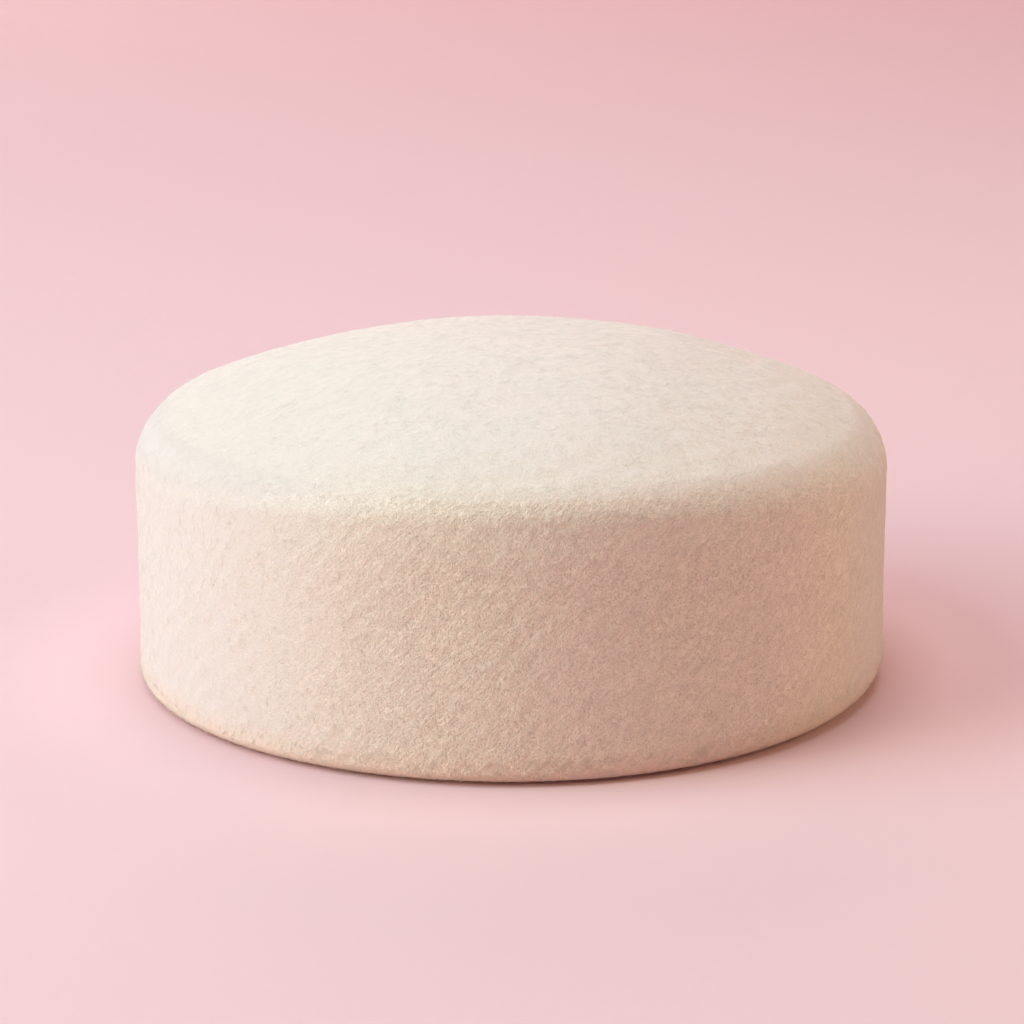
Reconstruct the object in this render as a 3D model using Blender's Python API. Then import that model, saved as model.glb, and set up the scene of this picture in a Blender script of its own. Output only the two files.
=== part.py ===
"""A pillbox hat in ivory felt, at its real size, in metres.

One felt body: a softly domed tip, a round shoulder, an upright side and a turned-in hem, hollow
inside and open below. +Z is up and the hat rests on z = 0 with its centre on the Z axis. The front
is towards -Y, and bearings are counted in degrees from +X (the hat's right as seen from the front)
through +Y (the back).
"""

from collections import namedtuple
from math import atan2, cos, exp, pi, radians, sin

import bmesh
import bpy

# Sizes that set the hat, in metres
HAT_WIDTH = 0.196
SIDE_HEIGHT = 0.0566
SHOULDER_RADIUS = 0.0153
TIP_RISE = 0.0169
FELT_THICKNESS = 0.003
HEM_TURN_UP = 0.016
HEM_FULLNESS = 0.0016

# How finely the surface is divided
BEARINGS = 72
OUTER_TIP_STEPS = 9
OUTER_SHOULDER_STEPS = 8
SIDE_STEPS = 4
OUTER_HEM_STEPS = 6
INNER_HEM_STEPS = 3
TURNED_FACE_STEPS = 2
TURNED_EDGE_STEPS = 3
INNER_SHOULDER_STEPS = 6
INNER_TIP_STEPS = 7
SMOOTH_ANGLE = radians(50)

# The shoulder and the hem are softer on one side than on the other, as hand-blocked felt is, and the
# shoulder is tighter and higher at the front. The shoulder column is a share of the shoulder radius,
# lift is a share of the tip's rise, and the other two are shares of the hem's thickness.
EdgeRow = namedtuple("EdgeRow", "bearing_deg shoulder lift round_depth round_height")
EDGE_ROWS = [
    EdgeRow(bearing_deg=0, shoulder=1.08, lift=0.00, round_depth=0.68, round_height=1.00),
    EdgeRow(bearing_deg=90, shoulder=1.00, lift=0.00, round_depth=0.56, round_height=0.70),
    EdgeRow(bearing_deg=180, shoulder=0.92, lift=0.00, round_depth=0.42, round_height=0.40),
    EdgeRow(bearing_deg=270, shoulder=0.57, lift=0.12, round_depth=0.56, round_height=0.70),
]

# Soft swells and hollows of the tip. Places and spreads are shares of half the hat's width, and
# each rise is a share of the felt's thickness.
Swell = namedtuple("Swell", "right back spread rise")
SWELLS = [
    Swell(right=0.45, back=0.30, spread=0.14, rise=0.25),
    Swell(right=0.62, back=-0.10, spread=0.20, rise=-0.15),
    Swell(right=-0.40, back=-0.15, spread=0.30, rise=0.12),
]

# The raw inner edge of the turned-in felt is slightly rounded, as a share of the felt's thickness,
# and so is the hem's inner corner, as a share of the hem's thickness.
TURNED_EDGE_ROUND = 0.35
HEM_INNER_ROUND = 0.18

# Felt, as seen in even light
FELT_COLOUR = (0.90, 0.84, 0.75, 1.0)
FELT_ROUGHNESS = 0.95

half_width = HAT_WIDTH / 2
hem_thickness = 2 * FELT_THICKNESS + HEM_FULLNESS
hat_height = SIDE_HEIGHT + SHOULDER_RADIUS + TIP_RISE


def clear_scene():
    """Remove every object, so that the model starts from nothing."""
    for found in list(bpy.data.objects):
        bpy.data.objects.remove(found, do_unlink=True)


def edge_at(bearing):
    """The edge row at one bearing in degrees, eased smoothly between the rows on either side."""
    turned = bearing % 360
    rows = EDGE_ROWS + [EDGE_ROWS[0]._replace(bearing_deg=EDGE_ROWS[0].bearing_deg + 360)]
    for before, after in zip(rows, rows[1:]):
        if turned <= after.bearing_deg:
            break
    along = (turned - before.bearing_deg) / (after.bearing_deg - before.bearing_deg)
    eased = (1 - cos(pi * along)) / 2
    return EdgeRow(*(low + (high - low) * eased for low, high in zip(before, after)))


def arc(centre, across, up, start, end, steps):
    """Points (radius, height) on an arc, with its angles in radians from straight up, outwards.

    The arc's half axes are across and up, so it is round where the two are equal. The start point
    is left out, because the stretch before it ends there.
    """
    points = []
    for step in range(1, steps + 1):
        angle = start + (end - start) * step / steps
        points.append((centre[0] + across * sin(angle), centre[1] + up * cos(angle)))
    return points


def line(start, end, steps):
    """Points (radius, height) on a straight stretch, without its start point."""
    points = []
    for step in range(1, steps + 1):
        share = step / steps
        radius = start[0] + (end[0] - start[0]) * share
        height = start[1] + (end[1] - start[1]) * share
        points.append((radius, height))
    return points


def shoulder_centre(edge):
    """The middle (radius, height) of the shoulder's arc at one bearing, level with the side's top."""
    shoulder = edge.shoulder * SHOULDER_RADIUS
    return (half_width - shoulder, hat_height - (1 - edge.lift) * TIP_RISE - shoulder)


def tip_and_shoulder(edge, inset, tip_steps, shoulder_steps):
    """The domed tip and the shoulder at one bearing, from the centre out to the side.

    Both are arcs that meet in line. The inset is how far the surface lies inside the outer one.
    """
    shoulder = edge.shoulder * SHOULDER_RADIUS
    centre = shoulder_centre(edge)
    reach = centre[0]
    rise = (1 - edge.lift) * TIP_RISE
    tip = (reach**2 + 2 * shoulder * rise + rise**2) / (2 * rise)
    tip_centre = (0.0, hat_height - tip)
    meet = atan2(reach, centre[1] - tip_centre[1])
    rounded = tip - inset
    turned = shoulder - inset
    points = [(0.0, hat_height - inset)]
    points += arc(tip_centre, rounded, rounded, 0, meet, tip_steps)
    points += arc(centre, turned, turned, meet, pi / 2, shoulder_steps)
    return points


def swell_at(radius, bearing):
    """How far the tip is raised or sunk at one place."""
    right = radius * cos(bearing) / half_width
    back = radius * sin(bearing) / half_width
    lift = 0.0
    for swell in SWELLS:
        away = ((right - swell.right) ** 2 + (back - swell.back) ** 2) / swell.spread**2
        lift += swell.rise * FELT_THICKNESS * exp(-away)
    return lift


def raise_tip(points, bearing):
    """The tip's points at one bearing, lifted by its swells."""
    return [(radius, height + swell_at(radius, bearing)) for radius, height in points]


def hem_and_turn(edge, inner_side):
    """The side, the rounded hem, its flat seat and the turned-in felt, down outside and up inside."""
    depth = edge.round_depth * hem_thickness
    height = edge.round_height * hem_thickness
    corner = HEM_INNER_ROUND * hem_thickness
    blunt = TURNED_EDGE_ROUND * FELT_THICKNESS
    hem_radius = half_width - hem_thickness
    turned_radius = inner_side - FELT_THICKNESS
    top_of_side = (half_width, shoulder_centre(edge)[1])

    points = line(top_of_side, (half_width, height), SIDE_STEPS)
    points += arc((half_width - depth, height), depth, height, pi / 2, pi, OUTER_HEM_STEPS)
    points += line(points[-1], (hem_radius + corner, 0.0), 1)
    points += arc((hem_radius + corner, corner), corner, corner, pi, 3 * pi / 2, INNER_HEM_STEPS)
    points += line(points[-1], (turned_radius, HEM_TURN_UP - blunt), TURNED_FACE_STEPS)
    blunt_centre = (turned_radius + blunt, HEM_TURN_UP - blunt)
    points += arc(blunt_centre, blunt, blunt, 3 * pi / 2, 2 * pi, TURNED_EDGE_STEPS)
    points += line(points[-1], (inner_side, HEM_TURN_UP), 1)
    return points


def section(bearing_deg):
    """The closed felt section at one bearing, from the top's centre round to the hollow's top."""
    bearing = radians(bearing_deg)
    edge = edge_at(bearing_deg)
    inner_side = half_width - FELT_THICKNESS

    outside = tip_and_shoulder(edge, 0.0, OUTER_TIP_STEPS, OUTER_SHOULDER_STEPS)
    inside = tip_and_shoulder(edge, FELT_THICKNESS, INNER_TIP_STEPS, INNER_SHOULDER_STEPS)
    inside.reverse()

    points = raise_tip(outside, bearing)
    points += hem_and_turn(edge, inner_side)
    points += line((inner_side, HEM_TURN_UP), inside[0], SIDE_STEPS)[:-1]
    points += raise_tip(inside, bearing)
    return points


def sweep_sections():
    """The felt body's mesh: one section at each bearing, joined to the next all the way round."""
    sections = [section(360 * place / BEARINGS) for place in range(BEARINGS)]
    shape = bmesh.new()
    top = shape.verts.new((0.0, 0.0, sections[0][0][1]))
    hollow_top = shape.verts.new((0.0, 0.0, sections[0][-1][1]))
    columns = []
    for place, points in enumerate(sections):
        bearing = 2 * pi * place / BEARINGS
        column = [top]
        for radius, height in points[1:-1]:
            column.append(shape.verts.new((radius * cos(bearing), radius * sin(bearing), height)))
        column.append(hollow_top)
        columns.append(column)
    for column, following in zip(columns, columns[1:] + columns[:1]):
        for row in range(len(column) - 1):
            corners = [column[row], column[row + 1], following[row + 1], following[row]]
            shape.faces.new(list(dict.fromkeys(corners)))
    bmesh.ops.triangulate(shape, faces=shape.faces[:])
    bmesh.ops.recalc_face_normals(shape, faces=shape.faces[:])
    return shape


def felt_material():
    """Ivory wool felt: matt, with a faint soft sheen."""
    felt = bpy.data.materials.new("ivory_felt")
    felt.use_nodes = True
    shader = felt.node_tree.nodes["Principled BSDF"]
    shader.inputs["Base Color"].default_value = FELT_COLOUR
    shader.inputs["Roughness"].default_value = FELT_ROUGHNESS
    shader.inputs["Metallic"].default_value = 0.0
    return felt


def add_crown():
    """The whole hat, blocked from one piece of felt."""
    mesh = bpy.data.meshes.new("crown")
    shape = sweep_sections()
    shape.to_mesh(mesh)
    shape.free()
    mesh.materials.append(felt_material())
    mesh.shade_smooth()
    mesh.set_sharp_from_angle(angle=SMOOTH_ANGLE)
    crown = bpy.data.objects.new("crown", mesh)
    bpy.context.scene.collection.objects.link(crown)


clear_scene()
add_crown()
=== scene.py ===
"""An ivory felt pillbox hat, at rest on a plain pale surface in soft light from the left.

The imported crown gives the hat's size and place. Its felt is made again here as one fine closed skin
with the soft unevenness of hand-blocked wool, and loose fibres are laid over it. All lengths are in
metres. The front is towards -Y, and bearings run from +X through +Y.
"""
from collections import namedtuple

import bpy
import numpy as np
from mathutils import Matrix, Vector


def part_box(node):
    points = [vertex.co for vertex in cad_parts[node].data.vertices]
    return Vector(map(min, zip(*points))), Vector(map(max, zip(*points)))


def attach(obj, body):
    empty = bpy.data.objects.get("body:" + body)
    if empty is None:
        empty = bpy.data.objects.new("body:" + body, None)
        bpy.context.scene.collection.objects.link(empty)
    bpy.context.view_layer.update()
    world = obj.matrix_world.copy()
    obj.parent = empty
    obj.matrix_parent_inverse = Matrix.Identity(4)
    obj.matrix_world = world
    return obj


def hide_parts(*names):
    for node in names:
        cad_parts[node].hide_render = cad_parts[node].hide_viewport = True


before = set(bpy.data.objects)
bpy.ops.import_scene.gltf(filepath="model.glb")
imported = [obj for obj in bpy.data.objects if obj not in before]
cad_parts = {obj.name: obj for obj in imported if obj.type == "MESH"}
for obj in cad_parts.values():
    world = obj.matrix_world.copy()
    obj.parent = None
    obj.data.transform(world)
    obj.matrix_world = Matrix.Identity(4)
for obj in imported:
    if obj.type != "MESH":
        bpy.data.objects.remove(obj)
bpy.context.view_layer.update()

CROWN_LOW, CROWN_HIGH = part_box("crown")

# Sizes of the hat: the width comes from the imported crown
HALF_WIDTH = (CROWN_HIGH[0] - CROWN_LOW[0]) / 2
SHOULDER_RADIUS = 0.0153
TIP_RISE = 0.0169
SIDE_HEIGHT = 0.0566
FELT = 0.003
HEM_TURN_UP = 0.016
HEM = 2 * FELT + 0.0016
HAT_HEIGHT = SIDE_HEIGHT + SHOULDER_RADIUS + TIP_RISE
HEM_CORNER = 0.18 * HEM
TURNED_EDGE = 0.35 * FELT

# The shoulder and the hem are softer on the right than on the left, and the shoulder is tighter and
# higher at the front. The rows stand a quarter turn apart from bearing 0. Shoulder is a share of the
# shoulder radius, lift a share of the tip's rise, and the rest are shares of the hem's thickness. The
# gap is how far the hem's outer edge stands off the surface, outside the flat ring it rests on.
EdgeRow = namedtuple("EdgeRow", "shoulder lift round_depth round_height gap")
EDGE_ROWS = [
    EdgeRow(shoulder=1.08, lift=0.00, round_depth=0.68, round_height=1.00, gap=0.11),
    EdgeRow(shoulder=1.00, lift=0.00, round_depth=0.56, round_height=0.70, gap=0.08),
    EdgeRow(shoulder=0.92, lift=0.00, round_depth=0.42, round_height=0.40, gap=0.03),
    EdgeRow(shoulder=0.57, lift=0.12, round_depth=0.40, round_height=0.50, gap=0.10),
]

# Soft swells and hollows of the tip: place and spread as shares of the half width, rise in metres
Swell = namedtuple("Swell", "right back spread rise")
SWELLS = [
    Swell(right=0.45, back=0.30, spread=0.14, rise=0.00075),
    Swell(right=0.62, back=-0.10, spread=0.20, rise=-0.00045),
    Swell(right=-0.40, back=-0.15, spread=0.30, rise=0.00036),
]

Arcs = namedtuple("Arcs", "shoulder reach centre tip meet")

# The felt's section, in order from the middle of the tip, down the outside, round the hem and up
# inside, with the rows of the skin that each stretch gets
Stretch = namedtuple("Stretch", "name rows")
STRETCHES = [
    Stretch("outer_tip", 58),
    Stretch("outer_shoulder", 18),
    Stretch("side", 37),
    Stretch("hem_round", 12),
    Stretch("seat", 6),
    Stretch("hem_corner", 4),
    Stretch("turned_face", 7),
    Stretch("turned_edge", 4),
    Stretch("ledge", 3),
    Stretch("inner_side", 20),
    Stretch("inner_shoulder", 8),
    Stretch("inner_tip", 22),
]
COLUMNS = 480
OUTSIDE_ROWS = sum(stretch.rows for stretch in STRETCHES[:5])

OUTER_ROWS = (0, sum(stretch.rows for stretch in STRETCHES[:4]))
HEM_START = sum(stretch.rows for stretch in STRETCHES[:3])
HEM_ROWS = (HEM_START - 1, HEM_START + 10)

# Waves in the felt's surface: how far each kind moves it, how many there are, and the shortest and
# longest of them, in metres. The slanted ones differ in width by up to their spread. All of them
# ease in over the seat heights, so that the seat stays flat.
WaveKind = namedtuple("WaveKind", "rise count short long seed")
BROAD = WaveKind(rise=0.00011, count=26, short=0.030, long=0.070, seed=3)
SLANTED = WaveKind(rise=0.000055, count=60, short=0.0035, long=0.030, seed=5)
LUMPS = WaveKind(rise=0.000045, count=70, short=0.0045, long=0.011, seed=7)
GRAIN = WaveKind(rise=0.000022, count=90, short=0.0030, long=0.0045, seed=9)
SLANTED_SPREAD = 1.8
SEAT_HEIGHTS = (0.0012, 0.008)

# On a bake map, the share of its height that a length inside the hat gets, and the empty edge
INSIDE_SHARE = 0.4
MAP_MARGIN = 0.004

# Loose wool: shortest and longest fibre, how far it turns on its way, how high its middle stands,
# what share of the fibres end free and how high, its half width and its height as a share of that
FibreKind = namedtuple("FibreKind", "short long bend lift free flick wide flat")
LYING = FibreKind(0.0022, 0.0062, 1.7, 0.00002, free=0.0, flick=0.0, wide=0.000075, flat=0.40)
LOOSE = FibreKind(0.0016, 0.0045, 1.5, 0.00006, free=0.6, flick=0.00045, wide=0.000026, flat=1.0)
HANGING = FibreKind(0.0012, 0.0032, 1.5, 0.00006, free=0.8, flick=0.00050, wide=0.000035, flat=1.0)
OUTER_FIBRES = 8000
HEM_FIBRES = 3500
INSIDE_FIBRES = 4000
FIBRE_POINTS = 6
# The share of fibres that lie near the felt's slant and how far they stray from it, and how far the
# heading of any fibre wavers, in radians
SLANTED_SHARE = 0.35
SLANT_STRAY = 0.4
WAVER = 0.6
# How far a loose fibre's shading leans towards the felt's own, and the empty share at each edge of
# its square on the bake map
FELT_LEAN = 0.7
SQUARE_MARGIN = 0.1
# The rows of the grid that lie under a flat plan of each tip, outside and inside
OUTER_TIP_ROWS = 70
INNER_TIP_ROWS = 26

# How far the nap stands up, in metres: it is pressed flatter on the tip than on the side
TIP_NAP = 0.00005
SIDE_NAP = 0.00018
# How far to each side the straight fibres in the felt's surface wander
CURL = 0.00032

# Colours of the felt, on the tip and on the side: the hollows between fibres, darkened with painted shade,
# much more on the side; the wool raised over them; and the felt where it is pressed smooth on the left,
# painted plain there without the hollows' painted shade, as the full light from the left shows it
Shades = namedtuple("Shades", "tip side")
SHADED_HOLLOW = Shades(tip=(0.730, 0.604, 0.534, 1.0), side=(0.440, 0.328, 0.250, 1.0))
WOOL = Shades(tip=(0.798, 0.668, 0.596, 1.0), side=(0.975, 0.826, 0.695, 1.0))
LIT_SMOOTH = Shades(tip=(0.738, 0.615, 0.550, 1.0), side=(0.732, 0.622, 0.602, 1.0))
# Painted shade: the darkest colour of the hollows, where the light grazes the side right of the front
GRAZING_SHADE_COLOUR = (0.300, 0.210, 0.155, 1.0)

# What the felt's surface is made of, and the weight of each part in how far raised wool covers the
# hollows and in how far the nap stands up
Weave = namedtuple("Weave", "strokes tangle pits clumps combed")
COVER_WEIGHTS = Weave(strokes=0.34, tangle=0.28, pits=0.40, clumps=0.0, combed=0.16)
RELIEF_WEIGHTS = Weave(strokes=0.40, tangle=0.30, pits=0.9, clumps=1.2, combed=1.1)
STROKE_SHAPE = {"Cells per Metre": 400.0, "Fineness": 4.6, "Length": 0.8, "Width": 0.17}
COARSE_CURLS = {"Curls per Metre": 1150.0, "Width": 0.12}
FINE_CURLS = {"Curls per Metre": 1900.0, "Width": 0.17}
FINE_SHIFT = (0.4, 0.7, 0.2)
# How far a fibre in the surface bows, in cells, and how much of a random shift its pattern gets
STROKE_BOW = 2.4
STROKE_SHIFT = 60.0
# How much shorter the combed streaks' pattern counts along Z, so that they are drawn out
COMBED_STRETCH = 0.42

# Random patterns in the felt: waves per metre, how much finer ones add, and how strong those are
Noise = namedtuple("Noise", "scale detail roughness")
PITS = Noise(2300.0, 1.0, 0.6)
CLUMPS = Noise(650.0, 1.0, 0.6)
COMBED = Noise(800.0, 1.0, 0.6)
MOTTLE = Noise(110.0, 2.0, 0.55)
PATCHES = Noise(28.0, 2.0, 0.5)
SHADE = Noise(900.0, 1.0, 0.5)
WARP_SCALE = 420.0

# Where a mask starts and is full: by the value of a pattern, then by how far up the felt faces, and
# then by its place in metres
Ramp = namedtuple("Ramp", "start full")
STROKE_FADE = Ramp(0.48, 0.22)
PIT_FILL = Ramp(0.25, 0.75)
COMBED_FILL = Ramp(0.30, 0.70)
COVER_FILL = Ramp(0.12, 0.95)
PATCH_FILL = Ramp(0.35, 0.70)
SHADE_FILL = Ramp(0.30, 0.70)
UPRIGHT_FACING = Ramp(0.985, 0.46)
TIP_EDGE_FACING = Ramp(0.972, 0.925)
STEEP_FACING = Ramp(0.65, 0.30)
# Where the painted shade over the left shoulder's highlight starts and is full, by how far the felt faces
# the strongest light
HIGHLIGHT_SHADE_NEAR = Ramp(0.83, 0.95)
# Where the painted shade of grazing light on the side starts and is full, from the left and the right
GRAZING_SHADE_LEFT = Ramp(-0.005, 0.030)
GRAZING_SHADE_RIGHT = Ramp(0.070, 0.045)
# Where the left is flattened and painted plain for the full light on it
PRESSED_LIT_LEFT = Ramp(-0.012, -0.078)
PRESSED_RIGHT = Ramp(0.050, 0.085)
SIDE_TOP_HEIGHT = Ramp(0.052, 0.064)
SIDE_TOP_RIGHT = Ramp(0.075, 0.048)
COOL_RIGHT = Ramp(0.080, 0.094)
FAR_BACK = Ramp(-0.010, 0.075)
# Where the painted glow of light bounced from the floor fades out up the hem, full at its bottom
FLOOR_BOUNCE_HEIGHT = Ramp(0.0105, 0.0)

# The most that the tip's edge stands up, and that the left side and the right end are pressed; on the left
# this also paints the felt plain, without the hollows' painted shade, where the full light falls
EDGE_STANDING = 0.35
LEFT_PRESSED_LIT = 0.87
RIGHT_PRESSED = 0.7
# How far raised wool covers the felt by itself, how crisp its edges are, and how much more of both
# and how much darker hollows the side right of the front gets: painted shade in its texture, where
# the light from the left grazes it
COVER = 0.205
CRISP = 0.50
GRAZING_SHADE_COVER = 0.03
GRAZING_SHADE_CRISP = 0.25
GRAZING_SHADE_HOLLOW = 0.25
MASK_NAMES = "upright tip_edge standing brushed pressed right_end cool_end side_top far_tip handled"
Masks = namedtuple("Masks", MASK_NAMES)

# Faint tints over those colours, each with the most of it that shows
Tint = namedtuple("Tint", "colour share")
WARM_PATCH = Tint((0.837, 0.662, 0.588, 1.0), 0.30)
# Painted shade: darker and warmer where the tip starts to turn down into the shoulder
TIP_EDGE_SHADE = Tint((0.700, 0.545, 0.440, 1.0), 0.25)
# Painted light: the cream light from above, where it reaches the top of the side
SIDE_TOP_LIGHT = Tint((0.823, 0.815, 0.680, 1.0), 0.24)
# Painted shade that dulls the highlight where the left shoulder faces the strongest light
SHOULDER_HIGHLIGHT_SHADE = Tint((0.500, 0.390, 0.370, 1.0), 0.25)
FAR_TIP = Tint((0.870, 0.680, 0.620, 1.0), 0.55)
COOL_END = Tint((0.735, 0.625, 0.620, 1.0), 0.45)
# Painted light: a warm glow of light bounced from the pink floor onto the bottom of the hem
FLOOR_BOUNCE_GLOW = Tint((0.890, 0.560, 0.420, 1.0), 0.50)

# The way the left shoulder faces where the strongest light falls on it, and where painted shade tones down
# its highlight
HIGHLIGHT_FACING = (-0.74, -0.30, 0.60)

# Loose fibres in two wools, each between a light and a dark shade
BRIGHT_WOOL = ((0.912, 0.772, 0.688, 1.0), (0.850, 0.716, 0.643, 1.0))
IVORY_WOOL = ((0.882, 0.740, 0.656, 1.0), (0.812, 0.676, 0.598, 1.0))

# The surface that the hat lies on: its outer radius, the curve up into a wall and the wall's height
FLOOR_RADIUS = 2.6
FLOOR_CURVE = 0.9
FLOOR_WALL = 1.6
FLOOR_RINGS = 60
FLOOR_COLUMNS = 96
FLOOR_COLOUR = (0.81, 0.53, 0.54, 1.0)

# Soft square lights round the hat, each facing it: bearing and elevation in degrees, distance and
# size in metres, power in watts
Light = namedtuple("Light", "name bearing elevation distance size power colour")
LIGHTS = [
    Light("top_light", 0, 89.9, 1.6, 0.9, 12.9, (0.854, 0.918, 1.0)),
    Light("left_high_light", 190, 45, 2.3, 1.5, 27.4, (0.669, 0.908, 1.0)),
    Light("left_low_light", 195, 25, 2.3, 1.2, 13.1, (0.259, 0.655, 1.0)),
    Light("left_front_light", 210, 20, 1.6, 0.9, 10.6, (0.889, 1.0, 0.565)),
    Light("left_back_light", 120, 20, 1.6, 0.9, 2.9, (0.753, 1.0, 0.925)),
    Light("back_light", 90, 25, 2.3, 1.2, 10.4, (1.0, 0.631, 0.647)),
    Light("right_light", 0, 25, 1.6, 0.9, 5.9, (0.983, 1.0, 0.50)),
]

# Camera: the photograph's own angle, distance and frame
PHOTO_SIDE = 1024
FOCAL_PIXELS = 3722
SENSOR = 36.0
CAMERA_DISTANCE = 10 * HALF_WIDTH
CAMERA_ELEVATION = np.radians(15.7)
AIM = Vector((0.00013, 0.0, 0.4 * HALF_WIDTH + 0.0024))


def edge_shares(bearing):
    """The edge shares at each bearing: table rows joined by half cosine waves."""
    table = np.array(EDGE_ROWS)
    quarter = (np.asarray(bearing) / (np.pi / 2)) % len(table)
    row = np.floor(quarter).astype(int)
    eased = ((1 - np.cos(np.pi * (quarter - row))) / 2)[..., None]
    low = table[row]
    high = table[(row + 1) % len(table)]
    return EdgeRow(*np.moveaxis(low + (high - low) * eased, -1, 0))


def tip_arcs(edge):
    """The arcs of the tip and the shoulder, which meet in line.

    The shoulder's arc has its middle at reach and centre. The tip's larger circle has its middle on
    the Z axis and runs into the shoulder's at the angle meet, counted from straight up.
    """
    shoulder = edge.shoulder * SHOULDER_RADIUS
    reach = HALF_WIDTH - shoulder
    rise = TIP_RISE * (1 - edge.lift)
    centre = HAT_HEIGHT - rise - shoulder
    tip = (reach**2 + 2 * shoulder * rise + rise**2) / (2 * rise)
    meet = np.arctan2(reach, centre - HAT_HEIGHT + tip)
    return Arcs(shoulder, reach, centre, tip, meet)


def between(low, high, share):
    """A value part of the way from one to another."""
    return low + (high - low) * share


def felt_section(name, share, bearing):
    """Radius and height at a share of one stretch of the felt's section.

    The tip is an arc of a large circle that runs in line into the shoulder's smaller one, the side
    is upright, the hem is a quarter ellipse down to a flat seat, and the felt turned up inside ends
    in a blunt edge. The inner face lies one felt's thickness inside the outer one.
    """
    edge = edge_shares(bearing)
    arcs = tip_arcs(edge)
    inner = name.startswith("inner")
    inset = FELT * inner
    along = 1 - share if inner else share
    if name in ("outer_tip", "inner_tip"):
        angle = arcs.meet * along
        radius = arcs.tip - inset
        return radius * np.sin(angle), HAT_HEIGHT - arcs.tip + radius * np.cos(angle)
    if name in ("outer_shoulder", "inner_shoulder"):
        angle = between(arcs.meet, np.pi / 2, along)
        radius = arcs.shoulder - inset
        return arcs.reach + radius * np.sin(angle), arcs.centre + radius * np.cos(angle)
    if name == "inner_side":
        return HALF_WIDTH - FELT, between(HEM_TURN_UP, arcs.centre, share)
    return hem_section(name, share, edge, arcs.centre)


def hem_section(name, share, edge, side_top):
    """Radius and height at a share of one stretch of the side, the hem or the felt turned up inside."""
    height = edge.round_height * HEM
    gap = edge.gap * HEM
    seat_outside = HALF_WIDTH - edge.round_depth * HEM
    hem_radius = HALF_WIDTH - HEM
    turned_radius = HALF_WIDTH - 2 * FELT
    turned_top = HEM_TURN_UP - TURNED_EDGE
    rounded = 1 - np.cos(share * np.pi / 2)
    upturned = np.sin(share * np.pi / 2)

    if name == "side":
        return HALF_WIDTH, between(side_top, height, share)
    if name == "hem_round":
        return between(HALF_WIDTH, seat_outside, rounded), between(height, gap, upturned)
    if name == "seat":
        return between(seat_outside, hem_radius + HEM_CORNER, share), gap * smooth_step(1 - share, 0, 1)
    if name == "hem_corner":
        return hem_radius + HEM_CORNER * (1 - upturned), HEM_CORNER * rounded
    if name == "turned_face":
        return between(hem_radius, turned_radius, share), between(HEM_CORNER, turned_top, share)
    if name == "turned_edge":
        return turned_radius + TURNED_EDGE * rounded, turned_top + TURNED_EDGE * upturned
    return between(turned_radius + TURNED_EDGE, HALF_WIDTH - FELT, share), HEM_TURN_UP


def section_grid():
    """Positions on the plain section, one row at each step round it and one column a bearing."""
    bearing = np.arange(COLUMNS) * 2 * np.pi / COLUMNS
    rows = []
    for stretch in STRETCHES:
        last = stretch is STRETCHES[-1]
        share = np.linspace(0, 1, stretch.rows + 1)[: None if last else -1, None]
        radius, height = felt_section(stretch.name, share, bearing[None, :])
        radius = np.broadcast_to(radius, (len(share), COLUMNS))
        height = np.broadcast_to(height, (len(share), COLUMNS))
        rows.append(np.stack([radius * np.cos(bearing), radius * np.sin(bearing), height], -1))
    return np.concatenate(rows)


def waves(places, kind):
    """A smooth random field in metres: a sum of cosine waves of random direction and phase."""
    draw = np.random.default_rng(kind.seed)
    heading = draw.normal(size=(kind.count, 3))
    heading /= np.linalg.norm(heading, axis=1)[:, None]
    length = kind.short * (kind.long / kind.short) ** draw.random(kind.count)
    phase = draw.random(kind.count) * 2 * np.pi
    total = np.zeros(places.shape[:-1])
    for direction, span, start in zip(heading, length, phase):
        total += np.cos(places @ (direction * 2 * np.pi / span) + start)
    return kind.rise * total * np.sqrt(2 / kind.count)


def slanted_waves(places, kind):
    """Waves on the unrolled side, longest along the slant that rises with the bearing.

    Each wave turns a whole number of times round the hat, so the field has no seam.
    """
    draw = np.random.default_rng(kind.seed)
    bearing = np.arctan2(places[..., 1], places[..., 0])
    total = np.zeros(places.shape[:-1])
    for _ in range(kind.count):
        across = 2 * np.pi / (kind.short * (SLANTED_SPREAD ** draw.random())) * draw.choice([-1, 1])
        along = 2 * np.pi / kind.long * draw.normal()
        turns = np.round((across + along) / np.sqrt(2) * HALF_WIDTH)
        climb = (along - across) / np.sqrt(2)
        total += np.cos(turns * bearing + climb * places[..., 2] + draw.random() * 2 * np.pi)
    return kind.rise * total * np.sqrt(2 / kind.count)


def grid_normals(grid):
    """Unit normals of a grid that closes round its columns: row step crossed with column step."""
    down = np.gradient(grid, axis=0)
    round_hat = np.roll(grid, -1, axis=1) - np.roll(grid, 1, axis=1)
    normal = np.cross(down, round_hat)
    normal /= np.maximum(np.linalg.norm(normal, axis=-1, keepdims=True), 1e-12)
    normal[0] = (0.0, 0.0, 1.0)
    normal[-1] = (0.0, 0.0, -1.0)
    return normal


def smooth_step(value, low, high):
    """0 below low, 1 above high, with an even S curve between."""
    share = np.clip((value - low) / (high - low), 0, 1)
    return share * share * (3 - 2 * share)


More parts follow.
